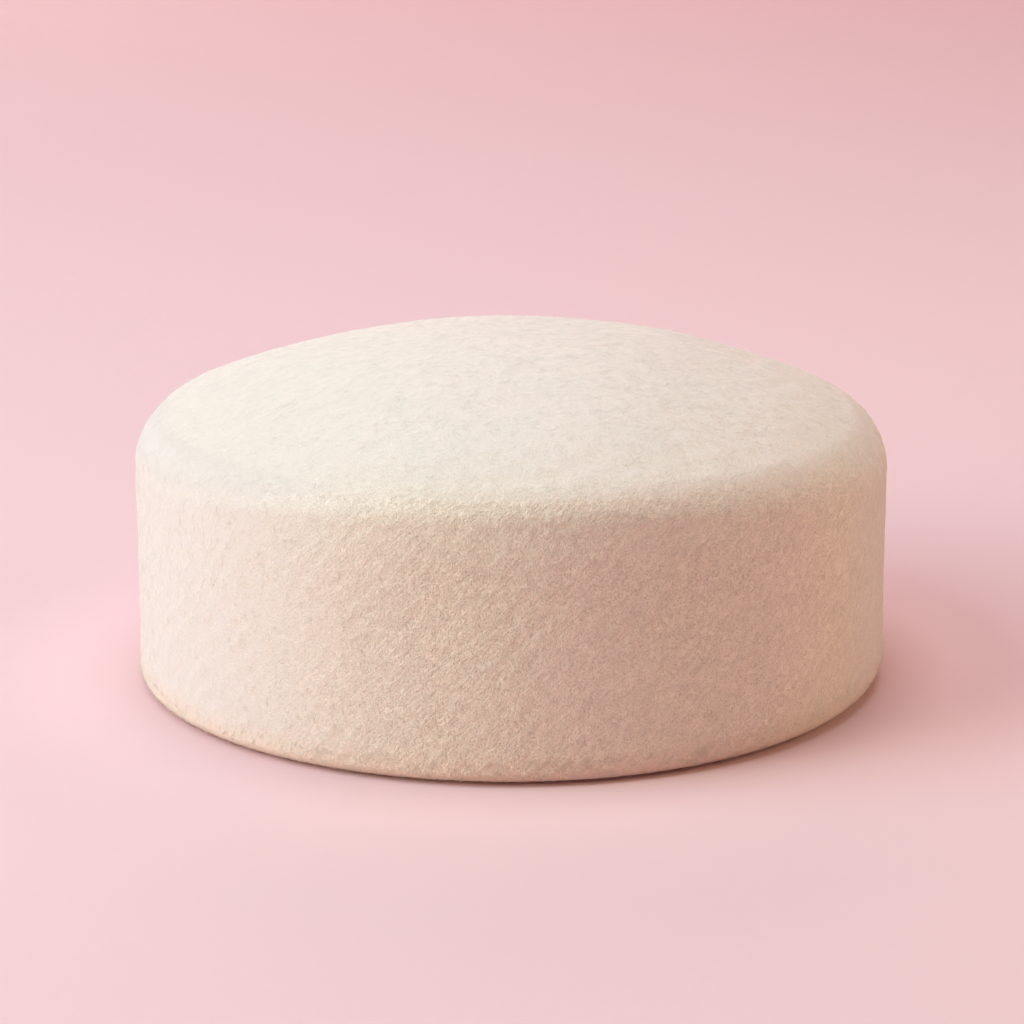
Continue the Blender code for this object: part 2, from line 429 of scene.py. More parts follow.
def blocked_felt():
    """The felt skin's grid: the plain section with swells, soft lumps and a slightly wavy side.

    Every point moves along its normal by a sum of smooth random waves: broad and low ones, lumps a
    few millimetres long that slant on the side, and a finer grain. The seat stays flat on z = 0.
    """
    plain = section_grid()
    normal = grid_normals(plain)
    across = plain[..., 0] / HALF_WIDTH
    back = plain[..., 1] / HALF_WIDTH
    lift = np.zeros(plain.shape[:2])
    for swell in SWELLS:
        away = ((across - swell.right) ** 2 + (back - swell.back) ** 2) / swell.spread**2
        lift += swell.rise * np.exp(-away)
    high = smooth_step(plain[..., 2], 0.8 * SIDE_HEIGHT, SIDE_HEIGHT + SHOULDER_RADIUS)
    free = smooth_step(plain[..., 2], *SEAT_HEIGHTS)

    broad = waves(plain, BROAD) * (0.3 + 0.7 * free)
    lumps = slanted_waves(plain, SLANTED) * (1 - high)
    lumps += waves(plain, LUMPS) * (0.35 + 0.65 * high)
    grid = plain + normal * ((broad + lumps + waves(plain, GRAIN)) * free)[..., None]
    grid[..., 2] += lift * high
    return grid


def skin_faces(rows, columns):
    """Quads between the rows of a grid that closes round its columns, then the two end fans."""
    row = np.arange(rows - 1)[:, None]
    column = np.arange(columns)[None, :]
    beside = (column + 1) % columns
    quads = np.stack(
        [
            1 + row * columns + column,
            1 + (row + 1) * columns + column,
            1 + (row + 1) * columns + beside,
            1 + row * columns + beside,
        ],
        -1,
    ).reshape(-1, 4)
    end = 1 + rows * columns
    turn = np.arange(columns)
    turned = (turn + 1) % columns
    first = np.stack([0 * turn, 1 + turn, 1 + turned], -1)
    last = np.stack([0 * turn + end, end - columns + turned, end - columns + turn], -1)
    return quads, first, last


def fill_mesh(name, points, loops, sizes):
    """A mesh from an array of points, its faces' corners in one row, and each face's corner count."""
    mesh = bpy.data.meshes.new(name)
    mesh.vertices.add(len(points))
    mesh.vertices.foreach_set("co", np.ascontiguousarray(points, dtype=np.float32).ravel())
    mesh.loops.add(len(loops))
    mesh.loops.foreach_set("vertex_index", np.ascontiguousarray(loops, dtype=np.int32))
    mesh.polygons.add(len(sizes))
    starts = np.concatenate([[0], np.cumsum(sizes)[:-1]])
    mesh.polygons.foreach_set("loop_start", starts.astype(np.int32))
    mesh.update(calc_edges=True)
    mesh.validate()
    mesh.shade_smooth()
    return mesh


def add_piece(name, mesh, material):
    """Put a finished mesh into the scene as a piece of the hat."""
    piece = bpy.data.objects.new(name, mesh)
    mesh.materials.append(material)
    bpy.context.scene.collection.objects.link(piece)
    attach(piece, "root")
    return piece


def map_felt(mesh, grid, corners):
    """A bake map for the skin: round the hat from left to right, down its section from top to bottom.

    The height on the map is the length along the section, and a length inside the hat counts for
    INSIDE_SHARE of one outside, where more shows. A corner at a pole lies midway along its face.
    """
    radius = np.hypot(grid[..., 0], grid[..., 1]).mean(axis=1)
    height = grid[..., 2].mean(axis=1)
    length = np.hypot(np.diff(radius), np.diff(height))
    length[OUTSIDE_ROWS:] *= INSIDE_SHARE
    down = np.concatenate([[0], np.cumsum(length)]) / length.sum()
    rings = len(grid) - 2
    number = np.concatenate([[0], np.repeat(np.arange(1, rings + 1), COLUMNS), [rings + 1]])
    column = np.concatenate([[0], np.tile(np.arange(COLUMNS), rings), [0]])
    maps = []
    for face_corners in corners:
        pole = (number[face_corners] == 0) | (number[face_corners] == rings + 1)
        across = np.where(pole, np.nan, column[face_corners])
        across += COLUMNS * (np.nanmax(across, axis=1, keepdims=True) - across > COLUMNS / 2)
        across = np.where(pole, np.nanmean(across, axis=1, keepdims=True), across)
        maps.append(np.stack([across / COLUMNS, 1 - down[number[face_corners]]], -1).reshape(-1, 2))
    bake = mesh.uv_layers.new(name="OFBake")
    edge = 1 - 2 * MAP_MARGIN
    bake.uv.foreach_set("vector", (MAP_MARGIN + edge * np.concatenate(maps)).astype(np.float32).ravel())


def add_felt_skin(grid, material):
    """The felt body as one closed skin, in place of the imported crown."""
    rings = grid[1:-1]
    points = np.concatenate([grid[0, :1], rings.reshape(-1, 3), grid[-1, :1]])
    quads, first, last = skin_faces(len(rings), COLUMNS)
    loops = np.concatenate([quads.ravel(), first.ravel(), last.ravel()])
    sizes = np.concatenate([np.full(len(quads), 4), np.full(len(first) + len(last), 3)])
    mesh = fill_mesh("felt_body", points, loops, sizes)
    map_felt(mesh, grid, (quads, first, last))
    piece = add_piece("felt_body", mesh, material)
    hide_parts("crown")
    return piece


def on_felt(grid, row, bearing):
    """Points of a grid at fractional rows and bearings, by mixing the four grid points around."""
    column = (bearing / (2 * np.pi) * COLUMNS) % COLUMNS
    left = np.floor(column).astype(int) % COLUMNS
    right = (left + 1) % COLUMNS
    part = (column - np.floor(column))[..., None]
    row = np.clip(row, 0, len(grid) - 1.001)
    above = np.floor(row).astype(int)
    down = (row - above)[..., None]
    upper = grid[above, left] * (1 - part) + grid[above, right] * part
    lower = grid[above + 1, left] * (1 - part) + grid[above + 1, right] * part
    return upper * (1 - down) + lower * down


def fibre_roots(grid, rows, count, draw):
    """Random places on the given rows, even over their area: (row, bearing)."""
    middle = grid.mean(axis=1)
    radius = np.hypot(grid[..., 0], grid[..., 1]).mean(axis=1)
    step = np.hypot(np.gradient(radius), np.gradient(middle[:, 2]))
    area = (radius * step)[rows[0] : rows[1]]
    share = np.cumsum(area) / area.sum()
    row = np.interp(draw.random(count), share, np.arange(rows[0], rows[1]))
    return row, draw.random(count) * 2 * np.pi


def fibre_walk(row, bearing, length, heading, grid):
    """Where each fibre runs, as rows and bearings of the grid at FIBRE_POINTS places along it.

    The headings and lengths are laid off on the flat plan near the middle of a tip, and on the
    unrolled section elsewhere.
    """
    radius = np.hypot(grid[..., 0], grid[..., 1]).mean(axis=1)
    height = grid[..., 2].mean(axis=1)
    along = np.concatenate([[0], np.cumsum(np.hypot(np.diff(radius), np.diff(height)))])
    numbers = np.arange(len(radius))
    step = length[:, None] / (FIBRE_POINTS - 1)
    start = np.zeros((len(row), 1))
    right = np.concatenate([start, np.cumsum(np.cos(heading[:, :-1]) * step, axis=1)], axis=1)
    up = np.concatenate([start, np.cumsum(np.sin(heading[:, :-1]) * step, axis=1)], axis=1)

    root_radius = np.interp(row, numbers, radius)[:, None]
    plan_x = root_radius * np.cos(bearing)[:, None] + right
    plan_y = root_radius * np.sin(bearing)[:, None] + up
    plan_radius = np.hypot(plan_x, plan_y)
    outer = numbers[:OUTER_TIP_ROWS]
    inner = numbers[-INNER_TIP_ROWS:]
    outer_row = np.interp(plan_radius, radius[outer], outer)
    inner_row = np.interp(plan_radius, radius[inner][::-1], inner[::-1])
    plan_row = np.where(row[:, None] < len(grid) / 2, outer_row, inner_row)

    side_row = np.interp(np.interp(row, numbers, along)[:, None] - up, along, numbers)
    side_bearing = bearing[:, None] + right / np.maximum(root_radius, 0.01)
    plan = root_radius < 0.8 * HALF_WIDTH
    rows = np.where(plan, plan_row, side_row)
    return rows, np.where(plan, np.arctan2(plan_y, plan_x) % (2 * np.pi), side_bearing)


def lay_fibres(grid, normal, row, bearing, kind, draw):
    """Paths of fibres over the felt as (fibre, point, xyz), with the felt's normal at each point.

    A fibre's heading turns steadily and wavers. Its height over the skin is an arch from end to
    end, and a share of them end free, above it.
    """
    count = len(row)
    share = np.linspace(0, 1, FIBRE_POINTS)[None, :]
    length = kind.short * (kind.long / kind.short) ** draw.random(count)
    slanted = draw.random(count) < SLANTED_SHARE
    slant = np.pi / 4 + draw.normal(0, SLANT_STRAY, count)
    heading = np.where(slanted, slant, draw.random(count) * 2 * np.pi)
    turn = draw.normal(0, kind.bend, count)[:, None] * (share - 0.5)
    waver = draw.normal(0, WAVER, count)[:, None]
    waver = waver * np.sin(2 * np.pi * (share + draw.random(count)[:, None]))
    rows, bearings = fibre_walk(row, bearing, length, heading[:, None] + turn + waver, grid)

    base = on_felt(grid, rows, bearings)
    facing = on_felt(normal, rows, bearings)
    facing /= np.maximum(np.linalg.norm(facing, axis=-1, keepdims=True), 1e-9)
    arch = kind.lift * (0.4 + 1.2 * draw.random(count))[:, None] * np.sin(np.pi * share)
    loose = draw.random(count) < kind.free
    flick = kind.flick * (0.25 + 1.5 * draw.random(count) ** 2)[:, None] * share**1.5
    over = np.where(loose[:, None], flick, arch) + 0.5 * kind.flat * kind.wide
    path = base + facing * over[..., None]
    path[..., 2] = np.maximum(path[..., 2], 1.2 * kind.wide * kind.flat)
    return path, facing


def fibre_tubes(name, path, facing, wide, flat):
    """One mesh of three-sided tubes along the paths, each closing to a point at both ends.

    A tube's section is an equal triangle with one corner outwards, pressed to a share of its
    height. Its shading leans towards the felt's own, as a fibre that lies in felt is lit like it.
    """
    count, points, _ = path.shape
    tangent = np.gradient(path, axis=1)
    tangent /= np.maximum(np.linalg.norm(tangent, axis=-1, keepdims=True), 1e-12)
    side = np.cross(tangent, facing)
    side /= np.maximum(np.linalg.norm(side, axis=-1, keepdims=True), 1e-12)
    out = np.cross(side, tangent)
    angle = np.radians([90.0, 210.0, 330.0])[:, None]
    across = side[:, 1:-1, None, :] * np.cos(angle)
    above = out[:, 1:-1, None, :] * np.sin(angle)
    ring = path[:, 1:-1, None, :] + (across + above * flat) * wide[:, None, None, None]
    vertices = np.concatenate([path[:, :1], ring.reshape(count, -1, 3), path[:, -1:]], axis=1)
    lean = FELT_LEAN * facing[:, 1:-1, None, :] + (1 - FELT_LEAN) * (across * flat + above)
    lean = np.concatenate([facing[:, :1], lean.reshape(count, -1, 3), facing[:, -1:]], axis=1)
    lean /= np.linalg.norm(lean, axis=-1, keepdims=True)
    each = vertices.shape[1]
    rings = points - 2

    corner = np.arange(3)
    beside = (corner + 1) % 3
    start = np.stack([0 * corner, 1 + corner, 1 + beside], -1)
    end_ring = 1 + 3 * (rings - 1)
    end = np.stack([0 * corner + each - 1, end_ring + beside, end_ring + corner], -1)
    level = 3 * np.arange(rings - 1)[:, None]
    near = 1 + level + corner[None, :]
    near_beside = 1 + level + beside[None, :]
    walls = np.stack([near, near + 3, near_beside + 3, near_beside], -1).reshape(-1, 4)
    first = (np.arange(count) * each)[:, None, None]
    triangles = (np.concatenate([start, end])[None] + first).reshape(-1)
    quads = (walls[None] + first).reshape(-1)
    loops = np.concatenate([triangles, quads])
    sizes = np.concatenate([np.full(len(triangles) // 3, 3), np.full(len(quads) // 4, 4)])
    mesh = fill_mesh(name, vertices.reshape(-1, 3), loops, sizes)
    map_fibres(mesh, count, points, loops, each)
    mesh.normals_split_custom_set_from_vertices(lean.reshape(-1, 3))
    return mesh


def map_fibres(mesh, count, points, loops, each):
    """A bake map for a piece of fibres: a small square for each, with its length across the square.

    Round a fibre its three corners are spread evenly up the square. A wall that closes the round
    takes its last corner as a fourth one, and a pointed end lies midway up.
    """
    side = int(np.ceil(np.sqrt(count)))
    fibre = loops // each
    number = loops % each
    end = number == each - 1
    level = np.where(number == 0, 0, np.where(end, points - 1, (number + 2) // 3))
    corner = np.where((number == 0) | end, 0.5 * 3, (number - 1) % 3).astype(float)
    tip = (number == 0) | end
    triangle_loops = count * 6 * 3
    for begin, size in ((0, 3), (triangle_loops, 4)):
        stop = triangle_loops if size == 3 else len(loops)
        face_corner = corner[begin:stop].reshape(-1, size)
        face_tip = tip[begin:stop].reshape(-1, size)
        highest = np.where(face_tip, -9, face_corner).max(axis=1)
        lowest = np.where(face_tip, 9, face_corner).min(axis=1)
        wraps = highest - lowest > 1.5
        face_corner[wraps[:, None] & ~face_tip & (face_corner < 0.5)] += 3
    room = 1 - 2 * SQUARE_MARGIN
    across = (fibre % side + SQUARE_MARGIN + room * level / (points - 1)) / side
    up = (fibre // side + SQUARE_MARGIN + room * corner / 3) / side
    bake = mesh.uv_layers.new(name="OFBake")
    bake.uv.foreach_set("vector", np.stack([across, up], -1).astype(np.float32).ravel())


def add_nap(name, grid, normal, rows, count, kind, material, seed):
    """Fibres over a band of the felt's rows, as one piece."""
    draw = np.random.default_rng(seed)
    row, bearing = fibre_roots(grid, rows, count, draw)
    path, facing = lay_fibres(grid, normal, row, bearing, kind, draw)
    wide = kind.wide * (0.7 + 0.6 * draw.random(count))
    return add_piece(name, fibre_tubes(name, path, facing, wide, kind.flat), material)


def wire(tree, source, target):
    """Join one socket to another."""
    tree.links.new(source, target)


def new_group(name, inputs, outputs):
    """An empty shader group with named inputs (name, kind, value) and outputs (name, kind)."""
    group = bpy.data.node_groups.new(name, "ShaderNodeTree")
    for label, kind, value in inputs:
        socket = group.interface.new_socket(label, in_out="INPUT", socket_type=kind)
        if value is not None:
            socket.default_value = value
    for label, kind in outputs:
        group.interface.new_socket(label, in_out="OUTPUT", socket_type=kind)
    return group, group.nodes.new("NodeGroupInput"), group.nodes.new("NodeGroupOutput")


def math_node(tree, operation, first, second=None, third=None, clamp=False):
    """A math node on sockets or plain numbers, and its result."""
    node = tree.nodes.new("ShaderNodeMath")
    node.operation = operation
    node.use_clamp = clamp
    for socket, value in zip(node.inputs, (first, second, third)):
        if value is None:
            continue
        if isinstance(value, (int, float)):
            socket.default_value = value
        else:
            wire(tree, value, socket)
    return node.outputs[0]


def vector_node(tree, operation, first, second=None, scale=None):
    """A vector math node on sockets or plain vectors, and its result."""
    node = tree.nodes.new("ShaderNodeVectorMath")
    node.operation = operation
    for socket, value in zip(node.inputs, (first, second)):
        if value is None:
            continue
        if isinstance(value, tuple):
            socket.default_value = value
        else:
            wire(tree, value, socket)
    if scale is not None:
        if isinstance(scale, (int, float)):
            node.inputs["Scale"].default_value = scale
        else:
            wire(tree, scale, node.inputs["Scale"])
    return node.outputs["Value"] if operation == "DOT_PRODUCT" else node.outputs[0]


def noise_node(tree, place, scale, detail, roughness):
    """A three-dimensional noise texture, and its value."""
    node = tree.nodes.new("ShaderNodeTexNoise")
    node.inputs["Scale"].default_value = scale
    node.inputs["Detail"].default_value = detail
    node.inputs["Roughness"].default_value = roughness
    wire(tree, place, node.inputs["Vector"])
    return node.outputs["Fac"]


def step_node(tree, value, low, high):
    """An even S curve from 0 at low to 1 at high."""
    node = tree.nodes.new("ShaderNodeMapRange")
    node.interpolation_type = "SMOOTHSTEP"
    node.inputs["From Min"].default_value = low
    node.inputs["From Max"].default_value = high
    wire(tree, value, node.inputs["Value"])
    return node.outputs["Result"]


def mix_colour(tree, share, first, second):
    """A colour between two, by a share."""
    node = tree.nodes.new("ShaderNodeMix")
    node.data_type = "RGBA"
    wire(tree, share, node.inputs["Factor"])
    node.clamp_factor = True
    for socket, value in ((node.inputs[6], first), (node.inputs[7], second)):
        if isinstance(value, tuple):
            socket.default_value = value
        else:
            wire(tree, value, socket)
    return node.outputs[2]


def curl_group():
    """Curly light threads in the felt: the lines where a noise crosses its middle value."""
    group, given, out = new_group(
        "felt_curls",
        [
            ("Place", "NodeSocketVector", None),
            ("Curls per Metre", "NodeSocketFloat", 700.0),
            ("Width", "NodeSocketFloat", 0.07),
        ],
        [("Lines", "NodeSocketFloat")],
    )
    place = vector_node(group, "SCALE", given.outputs["Place"], scale=given.outputs["Curls per Metre"])
    field = noise_node(group, place, 1.0, 0.0, 0.5)
    from_middle = math_node(group, "ABSOLUTE", math_node(group, "SUBTRACT", field, 0.5))
    near = math_node(group, "DIVIDE", from_middle, given.outputs["Width"], clamp=True)
    wire(group, math_node(group, "SUBTRACT", 1.0, near), out.inputs["Lines"])
    return group


def fibre_group():
    """Short straight fibres in the felt's surface, as a mask of thin lines.

    Space is parted into small cells. In each the lines lie along the surface in a direction of its
    own, which bends a little, and they fade out before they reach the cell's edge.
    """
    group, given, out = new_group(
        "felt_fibres",
        [
            ("Place", "NodeSocketVector", None),
            ("Cells per Metre", "NodeSocketFloat", 250.0),
            ("Fineness", "NodeSocketFloat", 9.0),
            ("Length", "NodeSocketFloat", 1.4),
            ("Width", "NodeSocketFloat", 0.06),
        ],
        [("Lines", "NodeSocketFloat")],
    )
    place = vector_node(group, "SCALE", given.outputs["Place"], scale=given.outputs["Cells per Metre"])
    cells = group.nodes.new("ShaderNodeTexVoronoi")
    cells.inputs["Scale"].default_value = 1.0
    cells.inputs["Randomness"].default_value = 0.75
    wire(group, place, cells.inputs["Vector"])
    local = vector_node(group, "SUBTRACT", place, cells.outputs["Position"])
    chance = vector_node(group, "SUBTRACT", cells.outputs["Color"], (0.5, 0.5, 0.5))
    surface = group.nodes.new("ShaderNodeNewGeometry")
    lying = vector_node(group, "CROSS_PRODUCT", surface.outputs["Normal"], chance)
    lying = vector_node(group, "NORMALIZE", lying)
    beside = vector_node(group, "CROSS_PRODUCT", surface.outputs["Normal"], lying)
    along = vector_node(group, "DOT_PRODUCT", local, lying)
    across = vector_node(group, "DOT_PRODUCT", local, beside)
    parts = group.nodes.new("ShaderNodeSeparateXYZ")
    wire(group, chance, parts.inputs[0])
    bend = math_node(group, "MULTIPLY", parts.outputs["X"], STROKE_BOW)
    bowed = math_node(group, "MULTIPLY_ADD", math_node(group, "MULTIPLY", along, along), bend, across)
    stretched = group.nodes.new("ShaderNodeCombineXYZ")
    wire(group, math_node(group, "MULTIPLY", along, given.outputs["Length"]), stretched.inputs["X"])
    wire(group, math_node(group, "MULTIPLY", bowed, given.outputs["Fineness"]), stretched.inputs["Y"])
    wire(group, math_node(group, "MULTIPLY", parts.outputs["Y"], STROKE_SHIFT), stretched.inputs["Z"])
    field = noise_node(group, stretched.outputs[0], 1.0, 0.0, 0.5)
    from_middle = math_node(group, "ABSOLUTE", math_node(group, "SUBTRACT", field, 0.5))
    near = math_node(group, "DIVIDE", from_middle, given.outputs["Width"], clamp=True)
    lines = math_node(group, "SUBTRACT", 1.0, near)
    fade = step_node(group, cells.outputs["Distance"], *STROKE_FADE)
    wire(group, math_node(group, "MULTIPLY", lines, fade), out.inputs["Lines"])
    return group


def group_node(tree, group, place, shift, values):
    """A shader group in a material, at a shifted place and with its named inputs set."""
    node = tree.nodes.new("ShaderNodeGroup")
    node.node_tree = group
    wire(tree, vector_node(tree, "ADD", place, shift), node.inputs["Place"])
    for label, value in values.items():
        node.inputs[label].default_value = value
    return node.outputs["Lines"]


def warped_place(tree, place):
    """Places shifted by up to CURL metres each way, so that straight patterns on them curl."""
    warp = tree.nodes.new("ShaderNodeTexNoise")
    warp.inputs["Scale"].default_value = WARP_SCALE
    warp.inputs["Detail"].default_value = 0.0
    wire(tree, place, warp.inputs["Vector"])
    shift = vector_node(tree, "SUBTRACT", warp.outputs["Color"], (0.5, 0.5, 0.5))
    return vector_node(tree, "ADD", place, vector_node(tree, "SCALE", shift, scale=2 * CURL))


def slanted_place(tree, place):
    """Places turned about Z by their height and drawn out along it, for streaks that slant.

    Noise at such places is longest along lines that rise to the right at 45 degrees on the side.
    """
    turned = tree.nodes.new("ShaderNodeVectorRotate")
    turned.rotation_type = "Z_AXIS"
    wire(tree, place, turned.inputs["Vector"])
    up = place_parts(tree, place)[2]
    wire(tree, math_node(tree, "MULTIPLY", up, -1 / HALF_WIDTH), turned.inputs["Angle"])
    return vector_node(tree, "MULTIPLY", turned.outputs[0], (1.0, 1.0, COMBED_STRETCH))


def place_parts(tree, vector):
    """The X, Y and Z of a vector."""
    parts = tree.nodes.new("ShaderNodeSeparateXYZ")
    wire(tree, vector, parts.inputs[0])
    return parts.outputs["X"], parts.outputs["Y"], parts.outputs["Z"]


def tinted(tree, colour, mask, tint):
    """A colour with a faint tint over it, as far as a mask shows it."""
    return mix_colour(tree, math_node(tree, "MULTIPLY", mask, tint.share), colour, tint.colour)


def highlight_shaded_colour(tree, colour):
    """A colour made duller along the left shoulder, where it faces the strongest light: painted shade that
    tones down its highlight.
    """
    normal = tree.nodes.new("ShaderNodeNewGeometry").outputs["Normal"]
    towards_shoulder = vector_node(tree, "DOT_PRODUCT", normal, HIGHLIGHT_FACING)
    return tinted(tree, colour, step_node(tree, towards_shoulder, *HIGHLIGHT_SHADE_NEAR), SHOULDER_HIGHLIGHT_SHADE)


def felt_masks(tree, place):
    """Where the felt is what, each from 0 to 1 by its place and the way it faces.

    The felt is flattened towards the left and a little at the right end; on the left, where the full
    light falls, its colour is also painted plain, without the hollows' painted shade. The side right of
    the front, where the light from the left grazes it, gets painted shade in its texture. The nap stands
    up fully on the side and a little along the tip's edge, and there the hollows carry more painted
    shade. The rest are where faint tints show: the far right, the side's top with painted light from
    above, the tip's back, and the hem's bottom with a painted warm glow of light bounced from the floor.
    """
    right, back, up = place_parts(tree, place)
    normal = tree.nodes.new("ShaderNodeNewGeometry").outputs["Normal"]
    facing_up = place_parts(tree, normal)[2]
    upright = step_node(tree, facing_up, *UPRIGHT_FACING)
    tip_edge = step_node(tree, facing_up, *TIP_EDGE_FACING)
    # How far the nap stands up; it also sets where the hollows take the side's stronger painted shade
    standing = math_node(tree, "MAXIMUM", upright, math_node(tree, "MULTIPLY", tip_edge, EDGE_STANDING))
    # Painted shade where the light grazes the side right of the front
    brushed = math_node(tree, "MULTIPLY", step_node(tree, right, *GRAZING_SHADE_LEFT), upright)
    brushed = math_node(tree, "MULTIPLY", step_node(tree, right, *GRAZING_SHADE_RIGHT), brushed)
    # Flattened towards the left, and painted plain there, without the hollows' painted shade, where the
    # full light falls
    pressed = math_node(tree, "MULTIPLY", step_node(tree, right, *PRESSED_LIT_LEFT), LEFT_PRESSED_LIT)
    right_end = math_node(tree, "MULTIPLY", step_node(tree, right, *PRESSED_RIGHT), RIGHT_PRESSED)
    steep = step_node(tree, facing_up, *STEEP_FACING)
    cool_end = step_node(tree, right, *COOL_RIGHT)
    # Where the painted light from above shows on the top of the side
    side_top = math_node(tree, "MULTIPLY", step_node(tree, up, *SIDE_TOP_HEIGHT), steep)
    side_top = math_node(tree, "MULTIPLY", step_node(tree, right, *SIDE_TOP_RIGHT), side_top)
    level = math_node(tree, "SUBTRACT", 1.0, upright)
    far_tip = math_node(tree, "MULTIPLY", step_node(tree, back, *FAR_BACK), level)
    # Painted glow of light bounced from the floor, along the hem's bottom
    handled = step_node(tree, up, *FLOOR_BOUNCE_HEIGHT)
    surface = (upright, tip_edge, standing, brushed, pressed, right_end)
    return Masks(*surface, cool_end, side_top, far_tip, handled)


def weighted_sum(tree, weave, weights):
    """The parts of the felt's surface added up, each by its weight."""
    total = 0.0
    for part, weight in zip(weave, weights):
        if weight:
            total = math_node(tree, "MULTIPLY_ADD", part, weight, total)
    return total


def raised_wool(tree, weave, brushed):
    """How far raised wool covers the hollows: fibres, curls, pits and combed streaks added up.

    The sum is then made crisper by part of the way to an S curve of itself.
    """
    pits = step_node(tree, weave.pits, *PIT_FILL)
    combed = step_node(tree, weave.combed, *COMBED_FILL)
    raised = weighted_sum(tree, weave._replace(pits=pits, combed=combed), COVER_WEIGHTS)
    # More cover and crisper edges where the side gets painted grazing shade
    cover = math_node(tree, "MULTIPLY_ADD", brushed, GRAZING_SHADE_COVER, COVER)
    raised = math_node(tree, "ADD", raised, cover, clamp=True)
    crisper = math_node(tree, "SUBTRACT", step_node(tree, raised, *COVER_FILL), raised)
    share = math_node(tree, "MULTIPLY_ADD", brushed, GRAZING_SHADE_CRISP, CRISP)
    return math_node(tree, "ADD", raised, math_node(tree, "MULTIPLY", crisper, share), clamp=True)


def felt_colour(tree, raised, patches, masks):
    """Light raised wool over hollows darkened with painted shade, plain on the left where the full light
    falls, with faint tints, some of them painted light and shade.
    """
    # The hollows' colours are painted shade, far darker on the side than on the tip
    hollow = mix_colour(tree, masks.standing, SHADED_HOLLOW.tip, SHADED_HOLLOW.side)
    # Painted shade: darker hollows where the light grazes the side
    grazing_dark = math_node(tree, "MULTIPLY", masks.brushed, GRAZING_SHADE_HOLLOW)
    hollow = mix_colour(tree, grazing_dark, hollow, GRAZING_SHADE_COLOUR)
    wool = mix_colour(tree, masks.standing, WOOL.tip, WOOL.side)
    colour = mix_colour(tree, raised, hollow, wool)
    colour = tinted(tree, colour, step_node(tree, patches, *PATCH_FILL), WARM_PATCH)
    # Painted shade where the tip turns down
    colour = tinted(tree, colour, masks.tip_edge, TIP_EDGE_SHADE)
    # Painted light from above on the top of the side
    colour = tinted(tree, colour, masks.side_top, SIDE_TOP_LIGHT)
    # Plain colour on the left, where the full light falls, in place of the hollows' painted shade
    smooth = mix_colour(tree, masks.upright, LIT_SMOOTH.tip, LIT_SMOOTH.side)
    colour = mix_colour(tree, masks.pressed, colour, smooth)
    # Painted shade over the left shoulder's highlight
    colour = highlight_shaded_colour(tree, colour)
    colour = tinted(tree, colour, masks.cool_end, COOL_END)
    colour = tinted(tree, colour, masks.far_tip, FAR_TIP)
    # Painted warm light bounced from the floor onto the hem
    return tinted(tree, colour, masks.handled, FLOOR_BOUNCE_GLOW)


def felt_relief(tree, weave, masks):
    """The normal of a nap that stands up by its fibres, curls, pits, clumps and combed streaks."""
    height = weighted_sum(tree, weave, RELIEF_WEIGHTS)
    rise = math_node(tree, "MULTIPLY_ADD", masks.standing, SIDE_NAP - TIP_NAP, TIP_NAP)
    smoothed = math_node(tree, "MAXIMUM", masks.pressed, masks.right_end)
    rise = math_node(tree, "MULTIPLY", rise, math_node(tree, "SUBTRACT", 1.0, smoothed))
    bump = tree.nodes.new("ShaderNodeBump")
    bump.inputs["Strength"].default_value = 1.0
    bump.inputs["Distance"].default_value = 1.0
    wire(tree, math_node(tree, "MULTIPLY", height, rise), bump.inputs["Height"])
    return bump.outputs["Normal"]


def felt_material(fibres, curls):
    """Ivory wool felt: a matt tangle of fine light fibres over hollows painted slightly darker with their
    shade.
    """
    material = bpy.data.materials.new("ivory_felt")
    material.use_nodes = True
    tree = material.node_tree
    shader = tree.nodes["Principled BSDF"]
    place = tree.nodes.new("ShaderNodeTexCoord").outputs["Object"]

    curled = warped_place(tree, place)
    coarse = group_node(tree, curls, curled, (0.0, 0.0, 0.0), COARSE_CURLS)
    fine = group_node(tree, curls, curled, FINE_SHIFT, FINE_CURLS)
    weave = Weave(
        strokes=group_node(tree, fibres, curled, (0.0, 0.0, 0.0), STROKE_SHAPE),
        tangle=math_node(tree, "MAXIMUM", coarse, fine),
        pits=noise_node(tree, place, *PITS),
        clumps=noise_node(tree, place, *CLUMPS),
        combed=noise_node(tree, slanted_place(tree, place), *COMBED),
    )
    mottle = noise_node(tree, place, *MOTTLE)
    patches = noise_node(tree, place, *PATCHES)
    masks = felt_masks(tree, place)

    raised = raised_wool(tree, weave, masks.brushed)
    wire(tree, felt_colour(tree, raised, patches, masks), shader.inputs["Base Color"])
    wire(tree, math_node(tree, "MULTIPLY_ADD", mottle, 0.12, 0.86), shader.inputs["Roughness"])
    wire(tree, felt_relief(tree, weave, masks), shader.inputs["Normal"])
    shader.inputs["Specular IOR Level"].default_value = 0.2
    shader.inputs["Sheen Weight"].default_value = 0.14
    shader.inputs["Sheen Roughness"].default_value = 0.5
    shader.inputs["Sheen Tint"].default_value = (1.0, 0.96, 0.90, 1.0)
    return material


def fibre_material(name, light, dark):
    """Loose wool that varies from fibre to fibre and along each one between two shades, with painted shade
    over the left shoulder's highlight as on the felt.
    """
    material = bpy.data.materials.new(name)
    material.use_nodes = True
    tree = material.node_tree
    shader = tree.nodes["Principled BSDF"]
    place = tree.nodes.new("ShaderNodeTexCoord").outputs["Object"]
    shade = step_node(tree, noise_node(tree, place, *SHADE), *SHADE_FILL)
    wire(tree, highlight_shaded_colour(tree, mix_colour(tree, shade, dark, light)), shader.inputs["Base Color"])
    wire(tree, math_node(tree, "MULTIPLY_ADD", shade, -0.15, 0.9), shader.inputs["Roughness"])
    shader.inputs["Specular IOR Level"].default_value = 0.2
    return material


